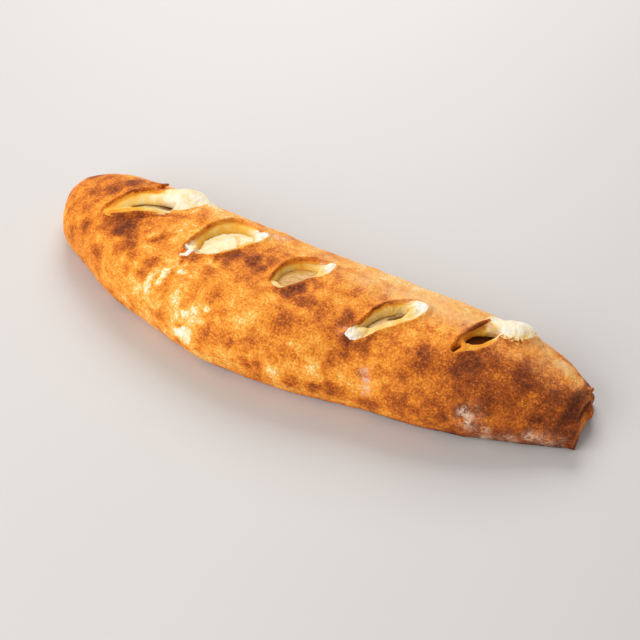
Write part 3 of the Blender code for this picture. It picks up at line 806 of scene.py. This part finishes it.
def place_vertices(mesh, points):
    mesh.vertices.foreach_set("co", points.astype(np.float32).ravel())
    mesh.update()


def edge_ends(mesh):
    """The first and the second vertex of each edge."""
    edges = np.empty(len(mesh.edges) * 2, dtype=np.int32)
    mesh.edges.foreach_get("vertices", edges)
    return edges[::2], edges[1::2]


def smooth_vertices(mesh, rounds):
    """Even out the steps of the grid, each vertex moving halfway to the mean of its neighbours."""
    first, second = edge_ends(mesh)
    points = vertex_array(mesh).astype(np.float64)
    ends, others = np.concatenate((first, second)), np.concatenate((second, first))
    count = np.bincount(ends, minlength=len(points))[:, None]
    for factor in (0.5, -0.53) * rounds:
        mean = np.stack([np.bincount(ends, weights=points[others, k], minlength=len(points))
                         for k in range(3)], axis=1) / count
        points = points + factor * (mean - points)
    place_vertices(mesh, points)


def thin_hidden(mesh, hidden, keep):
    """The mesh with only a share of the faces kept where it is hidden."""
    holder = bpy.data.objects.new("holder", mesh)
    bpy.context.scene.collection.objects.link(holder)
    holder.vertex_groups.new(name="hidden").add(np.flatnonzero(hidden).tolist(), 1.0, "REPLACE")
    modifier = holder.modifiers.new("thin", "DECIMATE")
    modifier.vertex_group, modifier.vertex_group_factor = "hidden", 1000.0
    modifier.ratio = float(1.0 - np.mean(hidden) * (1.0 - keep))
    evaluated = holder.evaluated_get(bpy.context.evaluated_depsgraph_get())
    thinned = bpy.data.meshes.new_from_object(evaluated)
    name = mesh.name
    bpy.data.objects.remove(holder)
    bpy.data.meshes.remove(mesh)
    thinned.name = name
    return thinned


def drop_scraps(mesh):
    """Take away the loose scraps that the grid leaves beside a mesh's largest body."""
    ends, others = edge_ends(mesh)
    body, before = np.arange(len(mesh.vertices)), None
    while before is None or (body != before).any():
        before = body
        lower = np.minimum(before[ends], before[others])
        body = before.copy()
        np.minimum.at(body, before[ends], lower)
        np.minimum.at(body, before[others], lower)
        body = body[body]
    scraps = np.flatnonzero(body != np.bincount(body).argmax())
    shape = bmesh.new()
    shape.from_mesh(mesh)
    shape.verts.ensure_lookup_table()
    bmesh.ops.delete(shape, geom=[shape.verts[i] for i in scraps], context="VERTS")
    shape.to_mesh(mesh)
    shape.free()


def set_masks(mesh, **masks):
    """Keep masks of 0 to 1 on a mesh's vertices, for its material."""
    for name, values in masks.items():
        layer = mesh.attributes.new(name, "FLOAT", "POINT")
        layer.data.foreach_set("value", np.clip(values, 0.0, 1.0).astype(np.float32))


def spots(points, table, wobble=0.0):
    """How much points are in the spots of a table, whose outlines wobble."""
    total = np.zeros(len(points), dtype=np.float32)
    wobble = np.broadcast_to(wobble, len(points))
    for x, y, z, radius, strength in table:
        d2 = ((points - np.array((x, y, z), dtype=np.float32)) ** 2).sum(axis=1)
        near = d2 < (radius * 2.6) ** 2
        reach = np.sqrt(d2[near]) / radius + wobble[near]
        total[near] = np.maximum(total[near], strength * np.exp(-0.9 * np.maximum(reach, 0.0) ** 2.4))
    return total


def nearness(points, path, width):
    """How near points are to a path, 1 on it and 0 beyond a few widths."""
    path = np.asarray(path, dtype=np.float32)
    low, high = path.min(axis=0) - 3.0 * width, path.max(axis=0) + 3.0 * width
    near = np.all((points > low) & (points < high), axis=1)
    best = np.full(int(near.sum()), 1e9, dtype=np.float32)
    for a, b in zip(path[:-1], path[1:]):
        t = np.clip((points[near] - a) @ (b - a) / ((b - a) @ (b - a)), 0.0, 1.0)
        best = np.minimum(best, ((points[near] - a - t[:, None] * (b - a)) ** 2).sum(axis=1))
    total = np.zeros(len(points), dtype=np.float32)
    total[near] = np.exp(-best / width ** 2)
    return total


def to_object(mesh, name, material):
    place_vertices(mesh, metres(vertex_array(mesh)))
    mesh.polygons.foreach_set("use_smooth", np.ones(len(mesh.polygons), dtype=bool))
    mesh.materials.append(material)
    made = bpy.data.objects.new(name, mesh)
    bpy.context.scene.collection.objects.link(made)
    return made


# ---- materials
class Nodes:
    """Short way to wire a material's nodes."""

    def __init__(self, name):
        self.material = bpy.data.materials.new(name)
        self.material.use_nodes = True
        self.tree = self.material.node_tree
        self.where = self.add("ShaderNodeTexCoord").outputs["Object"]

    def add(self, kind, **inputs):
        node = self.tree.nodes.new(kind)
        for key, value in inputs.items():
            self.plug(node.inputs[key.replace("_", " ")], value)
        return node

    def plug(self, socket, value):
        if isinstance(value, bpy.types.NodeSocket):
            self.tree.links.new(value, socket)
        else:
            socket.default_value = value

    def math(self, operation, a, b, clamp=False):
        node = self.tree.nodes.new("ShaderNodeMath")
        node.operation, node.use_clamp = operation, clamp
        self.plug(node.inputs[0], a)
        self.plug(node.inputs[1], b)
        return node.outputs[0]

    def mask(self, name):
        node = self.tree.nodes.new("ShaderNodeAttribute")
        node.attribute_name = name
        return node.outputs["Fac"]

    def noise(self, scale, detail, rough=0.55, distort=0.0):
        return self.add("ShaderNodeTexNoise", Vector=self.where, Scale=scale, Detail=detail,
                        Roughness=rough, Distortion=distort).outputs["Fac"]

    def range(self, value, low, high, to_low=0.0, to_high=1.0):
        node = self.add("ShaderNodeMapRange", Value=value, From_Min=low, From_Max=high, To_Min=to_low,
                        To_Max=to_high)
        node.interpolation_type = "SMOOTHSTEP"
        return node.outputs["Result"]

    def mix(self, factor, a, b, blend="MIX"):
        node = self.tree.nodes.new("ShaderNodeMix")
        node.data_type, node.blend_type = "RGBA", blend
        self.plug(node.inputs["Factor"], factor)
        for side, colour in (("A", a), ("B", b)):
            linked = isinstance(colour, bpy.types.NodeSocket)
            self.plug(node.inputs[side], colour if linked else (*colour, 1.0))
        return node.outputs["Result"]

    def ramp(self, value, stops):
        node = self.add("ShaderNodeValToRGB", Fac=value)
        ramp = node.color_ramp
        while len(ramp.elements) < len(stops):
            ramp.elements.new(0.5)
        for element, (place, colour) in zip(ramp.elements, stops):
            element.position, element.color = place, (*colour, 1.0)
        return node.outputs["Color"]

    def bump(self, height, strength, distance, **below):
        return self.add("ShaderNodeBump", Height=height, Strength=strength, Distance=distance,
                        **below).outputs["Normal"]

    def finish(self, **inputs):
        """Plug the looks into the shader, and give the material."""
        for key, value in inputs.items():
            self.plug(self.tree.nodes["Principled BSDF"].inputs[key.replace("_", " ")], value)
        return self.material


# Colours from pale to dark, and of gold.
CRUST_RAMP = (
    (0.00, (0.985, 0.860, 0.600)),
    (0.04, (0.980, 0.720, 0.300)),
    (0.12, (0.970, 0.520, 0.100)),
    (0.24, (0.940, 0.330, 0.034)),
    (0.42, (0.700, 0.190, 0.020)),
    (0.60, (0.400, 0.090, 0.013)),
    (0.80, (0.200, 0.042, 0.009)),
    (1.00, (0.095, 0.022, 0.007)),
)
CRUMB_RAMP = (
    (0.00, (0.970, 0.910, 0.770)),
    (0.18, (0.970, 0.820, 0.520)),
    (0.42, (0.970, 0.680, 0.220)),
    (0.68, (0.970, 0.500, 0.060)),
    (1.00, (0.860, 0.310, 0.025)),
)
# The sheen colour paints a pale peach highlight on the crest of the back and at the rounded tip.
SHEEN_COLOUR, FLOUR_COLOUR = (0.98, 0.61, 0.29), (0.90, 0.62, 0.44)
# The gap shade tint darkens the crumb with painted olive shade near the gaps and deep inside.
FROST_COLOUR, GAP_SHADE_TINT = (0.98, 0.95, 0.89), (0.62, 0.54, 0.30)
CHEESE_YELLOW, CHEESE_WHITE, CHEESE_FLECK = (0.90, 0.68, 0.32), (0.95, 0.84, 0.56), (0.90, 0.62, 0.24)
CHEESE_TINTS = (
    ("amber", (0.90, 0.52, 0.10), "MIX"),
    # painted shade: the filling darker the deeper it lies
    ("sunk", (0.34, 0.21, 0.045), "MIX"),
    ("umber", (0.34, 0.10, 0.018), "MIX"),
    ("green", (0.62, 0.37, 0.08), "MULTIPLY"),
)
FLOOR_COLOUR = (0.66, 0.645, 0.635)


def crust_material():
    n = Nodes("crust_baked")
    grain, fleck, mottle = n.noise(720.0, 2.0, 0.7), n.noise(330.0, 2.0, 0.6), n.noise(110.0, 2.0, 0.5, 0.4)
    brown = n.math("ADD", n.mask("brown"), n.range(grain, 0.30, 0.70, -0.10, 0.11))
    brown = n.math("ADD", brown, n.range(fleck, 0.30, 0.70, -0.05, 0.06))
    brown = n.math("ADD", brown, n.range(mottle, 0.30, 0.70, -0.05, 0.06), clamp=True)
    speck = n.range(n.noise(900.0, 1.0, 0.5), 0.56, 0.70, 0.0, 0.17)
    speck = n.math("MULTIPLY", speck, n.range(brown, 0.12, 0.40, 0.25, 1.0))
    brown = n.math("SUBTRACT", brown, speck, clamp=True)
    # Painted sheen: the pale peach highlight, mixed in where the sheen mask lies.
    pale = n.math("MULTIPLY", n.mask("sheen"), n.range(mottle, 0.30, 0.62, 0.42, 0.85))
    pale = n.math("MULTIPLY", pale, n.range(grain, 0.30, 0.70, 0.65, 1.25), clamp=True)
    pale = n.math("MULTIPLY", pale, n.range(brown, 0.22, 0.60, 1.0, 0.30))
    colour = n.mix(pale, n.ramp(brown, CRUST_RAMP), SHEEN_COLOUR)
    dust = n.math("MULTIPLY", n.mask("flour"), n.range(n.noise(420.0, 3.0, 0.7), 0.36, 0.58))
    colour = n.mix(dust, colour, FLOUR_COLOUR)
    gold = n.math("ADD", n.mask("gold"), n.range(mottle, 0.3, 0.7, -0.10, 0.10), clamp=True)
    # Painted shade: the crumb is darkened towards olive near the gaps.
    crumb = n.mix(n.mask("olive"), n.ramp(gold, CRUMB_RAMP), GAP_SHADE_TINT, "MULTIPLY")
    white = n.math("MULTIPLY", n.mask("frost"), n.range(fleck, 0.38, 0.58))
    crumb = n.mix(white, crumb, FROST_COLOUR)
    torn = n.math("ADD", n.mask("crumb"), n.range(fleck, 0.3, 0.7, -0.12, 0.12))
    colour = n.mix(n.range(torn, 0.35, 0.65), colour, crumb)
    rough = n.bump(fleck, 0.5, 0.0016, Normal=n.bump(grain, 0.6, 0.0008))
    return n.finish(Base_Color=colour, Roughness=n.range(grain, 0.2, 0.8, 0.50, 0.72),
                    Specular_IOR_Level=0.12, Normal=rough)


def cheese_material():
    n = Nodes("cheese_melted")
    curd, fine = n.noise(160.0, 3.0, 0.55, 0.5), n.noise(600.0, 3.0, 0.6)
    colour = n.mix(n.range(curd, 0.3, 0.7), CHEESE_YELLOW, CHEESE_WHITE)
    colour = n.mix(n.range(fine, 0.55, 0.8), colour, CHEESE_FLECK)
    for mask, tint, blend in CHEESE_TINTS:
        colour = n.mix(n.mask(mask), colour, tint, blend)
    moist = n.bump(fine, 0.25, 0.0008, Normal=n.bump(curd, 0.4, 0.002))
    return n.finish(Base_Color=colour, Roughness=n.range(curd, 0.2, 0.8, 0.30, 0.48), Normal=moist)


def floor_material():
    n = Nodes("pale_floor")
    colour = n.mix(n.noise(6.0, 2.0), [c * 0.985 for c in FLOOR_COLOUR], FLOOR_COLOUR)
    return n.finish(Base_Color=colour, Roughness=0.6)


# ---- the pieces
def seen(plan, points):
    """Whether points are near enough to a gap to be seen through it."""
    return (plan.at("gap", points) < SHOWN_WITHIN) & (points[:, 2] > SLITS_ABOVE)


class Skin:
    """The crust's vertices, and what is known of the dough at each."""

    def __init__(self, mesh, plan, outer):
        self.points, self.normals = vertex_array(mesh), vertex_array(mesh, "normal")
        self.depth = -sample(outer, self.points)
        self.outside = fade(1.6, 3.2, self.depth)
        self.top = smoothstep(18.0, 24.0, self.points[:, 2])
        self.rim, self.gap, self.leaf = (plan.at(name, self.points) for name in ("rim", "gap", "leaf"))
        self.torn = np.minimum(self.rim, self.leaf)
        self.frost = plan.at("frost", self.points) * self.top

    def move(self, relief, flap):
        """Move the vertices outward by the relief, but not out of the CAD's box."""
        low, high = (np.array(corner) * 1000.0 + FOOTPRINT_MIDDLE for corner in CAD_BOX)
        self.points = np.clip(self.points + self.normals * relief[:, None], low, high)
        self.x, self.y, self.z = self.points.T
        self.across = self.y - along(1, self.x)
        self.up = self.z / along(3, self.x)
        self.on_flap = fade(0.1, 0.9, sample(flap, self.points))
        self.first = np.abs(self.y - FIRST_FLAP[1]) + np.abs(self.x - FIRST_FLAP[0]) < FIRST_REACH
        self.fine = fractal(self.points, 4.0, 3, 51)


def crust_relief(skin):
    """How far the crust's vertices move outward, and the painted shade in its creases and painted highlight
    on its ridges.
    """
    points, outside = skin.points, skin.outside
    pale = fade(-0.5, 0.5, skin.torn) * skin.top
    relief = swells(points, CRUST_SWELLS) * (1.0 - pale) + swells(points, CRUST_GRAIN)
    relief += FROST_GRAIN * skin.frost * pale * gradient_noise(points, 2.1, 5)
    relief += LEAF_LUMPS * fade(-2.5, 0.0, skin.leaf) * fractal(points, 7.0, 2, 6) * outside
    relief *= (0.35 + 0.65 * outside) * smoothstep(0.3, 3.0, points[:, 2])
    # Painted shade in the creases and painted highlight on the ridges, as a change in how brown the crust
    # is.
    painted_crease_light = np.zeros(len(points), dtype=np.float32)
    for path, width, height, brown in CREASES:
        line = nearness(points, path, width) * outside
        relief += height * line
        painted_crease_light += brown * line
    # Painted shade on the folded end, by which way its surface faces.
    turning = smoothstep(176.0, 179.0, points[:, 0]) * outside
    for facing, spread, brown in FOLD_TURN_SHADE:
        painted_crease_light += brown * turning * bell(skin.normals[:, 0] - facing, spread)
    return relief, painted_crease_light


def torn_looks(skin, plan, raw):
    """Masks of the pale dough that shows where the crust is torn, raised or pushed out, with painted olive
    shade near its gaps and deep inside.
    """
    points, on_flap, fine = skin.points, skin.on_flap, skin.fine
    crumb = fade(-0.45, 0.25, skin.torn + 0.22 * fine) * skin.top
    crumb = np.maximum(crumb, fade(-0.1, 0.7, sample(raw, points) + 0.3 * fine) * skin.top)
    crumb = np.maximum(crumb, smoothstep(2.4, 3.4, skin.depth))
    # Painted highlight: the white glint low on the front, in crumb colour.
    crumb = np.maximum(crumb, spots(points, FRONT_GLINT_SPOTS, 0.3 * fine))
    pulled = on_flap * smoothstep(-0.62, -0.22, skin.normals @ PULLED_WAY + 0.05 * fine)
    crumbly = on_flap * smoothstep(CRUMBLY_FROM, CRUMBLY_FROM + 4.0, skin.x)
    crumbly = crumbly * smoothstep(-0.05, 0.16, fractal(points, 1.5, 2, 63))
    crumb = np.maximum(crumb * (1.0 - on_flap), np.where(skin.first, pulled, crumbly))
    in_leaf = fade(-2.0, 1.5, skin.leaf) * smoothstep(-4.0, 1.0, skin.gap)
    in_leaf = in_leaf * (1.0 - smoothstep(1.2, 3.0, skin.depth) * (skin.x > RIGHT_PART))
    leaf_gold = 0.10 + 0.34 * smoothstep(-4.0, 0.3, skin.leaf + 0.8 * fine)
    gold = plan.at("gold", points) * (1.0 - 0.85 * in_leaf) + leaf_gold * in_leaf
    gold = gold + 0.16 * fractal(points, 6.0, 2, 57)
    flap_gold = on_flap * (1.0 - 0.40 * smoothstep(-122.0, -105.0, skin.x))
    gold = np.maximum(gold, np.where(skin.first, flap_gold, 0.92 * crumbly))
    gold = gold * (1.0 - 0.9 * skin.frost * fade(1.2, 3.6, skin.depth))
    amber = spots(points, AMBER_SPOTS, 0.3 * fine)
    in_leaf = in_leaf * (1.0 - amber)
    # Painted shade: olive near the gaps, deep below the crust's outside, and on the amber spots.
    olive = np.maximum(plan.at("olive", points) * (1.0 - in_leaf), smoothstep(3.5, 6.0, skin.depth))
    return {"crumb": crumb, "gold": np.maximum(gold, amber), "olive": np.maximum(olive, 0.6 * amber),
            "frost": np.maximum(skin.frost, 0.35 * in_leaf)}


def shade(skin, table):
    """Sum of a table's amounts, each where the skin lies from one place to another."""
    return sum(amount * math.prod(smoothstep(start, end, getattr(skin, way)) for way, start, end in ways)
               for amount, *ways in table)


def painted_sheen(skin, wobble):
    """Painted sheen: a pale peach highlight on the crust, mostly on the crest of its back."""
    middle = smoothstep(-20.0, 80.0, skin.x) * fade(112.0, 165.0, skin.x)
    crest = smoothstep(14.0 - 16.0 * middle, 32.0 - 12.0 * middle, skin.across)
    crest = crest * smoothstep(0.35, 0.7, skin.up)
    sheen = crest * (0.30 + 0.55 * middle + shade(skin, CREST_SHEEN)) + shade(skin, TIP_SHEEN)
    return np.maximum(sheen, spots(skin.points, SHEEN_SPOTS, wobble)) * (1.0 - skin.on_flap)


def browning_and_painted_light(skin, plan, painted_crease_light):
    """Masks of how brown and floury the crust is, with painted shade at its foot and in its creases, and of
    its painted sheen.
    """
    points = skin.points
    wobble = 0.45 * fractal(points, 9.0, 3, 21)
    dark = spots(points, BROWN_SPOTS, wobble) * (1.0 + 0.4 * fractal(points, 8.0, 3, 91))
    blotch = fractal(points, 14.0, 2, 31) + 0.35 * fractal(points, 6.5, 2, 37)
    blotch = 0.24 * smoothstep(-0.1, 0.9, blotch) - 0.10 * smoothstep(0.0, 0.9, -blotch)
    base = BASE_BROWN + shade(skin, BROWN_SHADES) + blotch * (1.0 - 0.35 * smoothstep(90.0, 130.0, skin.x))
    brown = base + 0.80 * np.clip(dark, 0.0, 1.0) * (1.0 - base)
    # Painted shade along the foot of the roll, where it curves under.
    brown = brown - 0.34 * spots(points, PALE_SPOTS, wobble) + shade(skin, FOOT_PAINTED_SHADE)
    at_rim = fade(0.1, 1.8, skin.rim) * skin.top * (0.7 + 0.5 * fractal(points, 7.0, 2, 61))
    brown = brown + plan.at("lip", points) * at_rim
    tip = np.clip(smoothstep(29.0, 34.0, skin.y) + smoothstep(100.0, 110.0, skin.x), 0.0, 1.0)
    tip = np.where(skin.x > RIGHT_PART, FLAP_BROWN[1], FLAP_BROWN[0]) * tip
    brown = brown + np.where(skin.first, 0.0, tip) * skin.on_flap
    # Painted sheen: a patchy pale highlight, which also makes the crust less brown beneath it.
    sheen = painted_sheen(skin, wobble)
    patchy_sheen = np.clip(sheen * (0.8 + 0.5 * fractal(points, 12.0, 3, 97)), 0.0, SHEEN_MOST)
    # The painted crease shade and ridge highlight go onto the brown mask.
    return {"flour": spots(points, FLOUR_SPOTS, wobble), "brown": brown * (1.0 - 0.55 * sheen) + painted_crease_light,
            "sheen": patchy_sheen}


def make_crust(plan, outer, crust, flap, raw):
    mesh = field_mesh("crust_skin", crust)
    points = vertex_array(mesh)
    inside = (sample(outer, points) < -HIDDEN_DEPTH) & ~seen(plan, points)
    mesh = thin_hidden(mesh, inside | (points[:, 2] < 0.3), CRUST_KEEP)
    skin = Skin(mesh, plan, outer)
    relief, painted_crease_light = crust_relief(skin)
    skin.move(relief, flap)
    place_vertices(mesh, skin.points)
    set_masks(mesh, **browning_and_painted_light(skin, plan, painted_crease_light), **torn_looks(skin, plan, raw))
    return to_object(mesh, "crust_skin", crust_material())


def make_filling(plan, outer, filling):
    mesh = field_mesh("filling_melted", filling)
    mesh = thin_hidden(mesh, ~seen(plan, vertex_array(mesh)), FILLING_KEEP)
    drop_scraps(mesh)
    points = vertex_array(mesh)
    depth = -sample(outer, points)
    fold = nearness(points, *CHEESE_FOLD)
    waves = (swells(points, CHEESE_SWELLS) - CHEESE_DROP) * fade(5.0, 8.0, depth) - CHEESE_GROOVE * fold
    points = points + vertex_array(mesh, "normal") * waves[:, None]
    place_vertices(mesh, points)
    x = points[:, 0]
    set_masks(
        mesh,
        # Painted shade: the filling darkens the deeper it lies below the roll's outside.
        sunk=smoothstep(3.6, 8.6, depth + 0.6 * fractal(points, 5.0, 2, 13)),
        amber=fold,
        green=smoothstep(-20.0, 0.0, x) * (0.9 - 0.5 * smoothstep(30.0, 50.0, x)),
        umber=np.maximum(spots(points, DARK_FILLING_SPOTS), 0.9 * smoothstep(90.0, 100.0, x)))
    return to_object(mesh, "filling_melted", cheese_material())


# ---- stage, light and camera
CAMERA_PLACE = Vector((0.28794, -0.41900, 0.51701))
CAMERA_FORWARD = Vector((-0.3773, 0.5974, -0.7077)).normalized()
CAMERA_ROLL = math.radians(0.181)
CAMERA_LENS, CAMERA_SENSOR = 66.03, 36.0
FLOOR_HALF, FLOOR_BELOW = 3.0, 0.0002
SKY_COLOUR, SKY_STRENGTH = (1.0, 0.985, 0.97, 1.0), 0.42
LIGHTS = (("window_back", (-0.55, 0.95, 1.0), 0.9), ("fill_front", (-0.45, -1.10, 0.70), 1.1))
LIGHT_TARGET, LIGHT_ENERGY, LIGHT_COLOUR = (0.0, 0.0, 0.02), 14.0, (1.0, 0.98, 0.95)


def add_area(name, place, size):
    light = bpy.data.lights.new(name, "AREA")
    light.shape, light.size, light.energy, light.color = "SQUARE", size, LIGHT_ENERGY, LIGHT_COLOUR
    made = bpy.data.objects.new(name, light)
    made.location = place
    made.rotation_euler = (Vector(LIGHT_TARGET) - Vector(place)).to_track_quat("-Z", "Y").to_euler()
    bpy.context.scene.collection.objects.link(made)


def make_stage():
    mesh = bpy.data.meshes.new("floor")
    s = FLOOR_HALF
    mesh.from_pydata([(-s, -s, 0), (s, -s, 0), (s, s, 0), (-s, s, 0)], [], [(0, 1, 2, 3)])
    floor = bpy.data.objects.new("floor", mesh)
    floor.location.z = -FLOOR_BELOW
    mesh.materials.append(floor_material())
    bpy.context.scene.collection.objects.link(floor)
    world = bpy.data.worlds.new("studio")
    world.use_nodes = True
    sky = world.node_tree.nodes["Background"]
    sky.inputs["Color"].default_value, sky.inputs["Strength"].default_value = SKY_COLOUR, SKY_STRENGTH
    bpy.context.scene.world = world
    for light in LIGHTS:
        add_area(*light)


def make_camera():
    data = bpy.data.cameras.new("camera")
    data.lens, data.sensor_width = CAMERA_LENS, CAMERA_SENSOR
    camera = bpy.data.objects.new("camera", data)
    right = CAMERA_FORWARD.cross(Vector((0, 0, 1))).normalized()
    up = right.cross(CAMERA_FORWARD)
    c, s = math.cos(CAMERA_ROLL), math.sin(CAMERA_ROLL)
    right, up = right * c + up * s, up * c - right * s
    turn = Matrix((right, up, -CAMERA_FORWARD)).transposed().to_4x4()
    camera.matrix_world = Matrix.Translation(CAMERA_PLACE) @ turn
    bpy.context.scene.collection.objects.link(camera)
    bpy.context.scene.camera = camera


def main():
    bpy.context.scene.view_settings.view_transform = "Standard"
    plan = Plan()
    outer, crust, flap, raw, filling = make_fields(plan)
    skin = make_crust(plan, outer, crust, flap, raw)
    melted = make_filling(plan, outer, filling)
    for piece, node, slot in ((skin, "crust", "crust_dough"), (melted, "filling", "melted_cheese")):
        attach(piece, "root")
        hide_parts(node)
    make_stage()
    make_camera()
    print("triangles", {o.name: sum(len(p.vertices) - 2 for p in o.data.polygons) for o in (skin, melted)})


main()
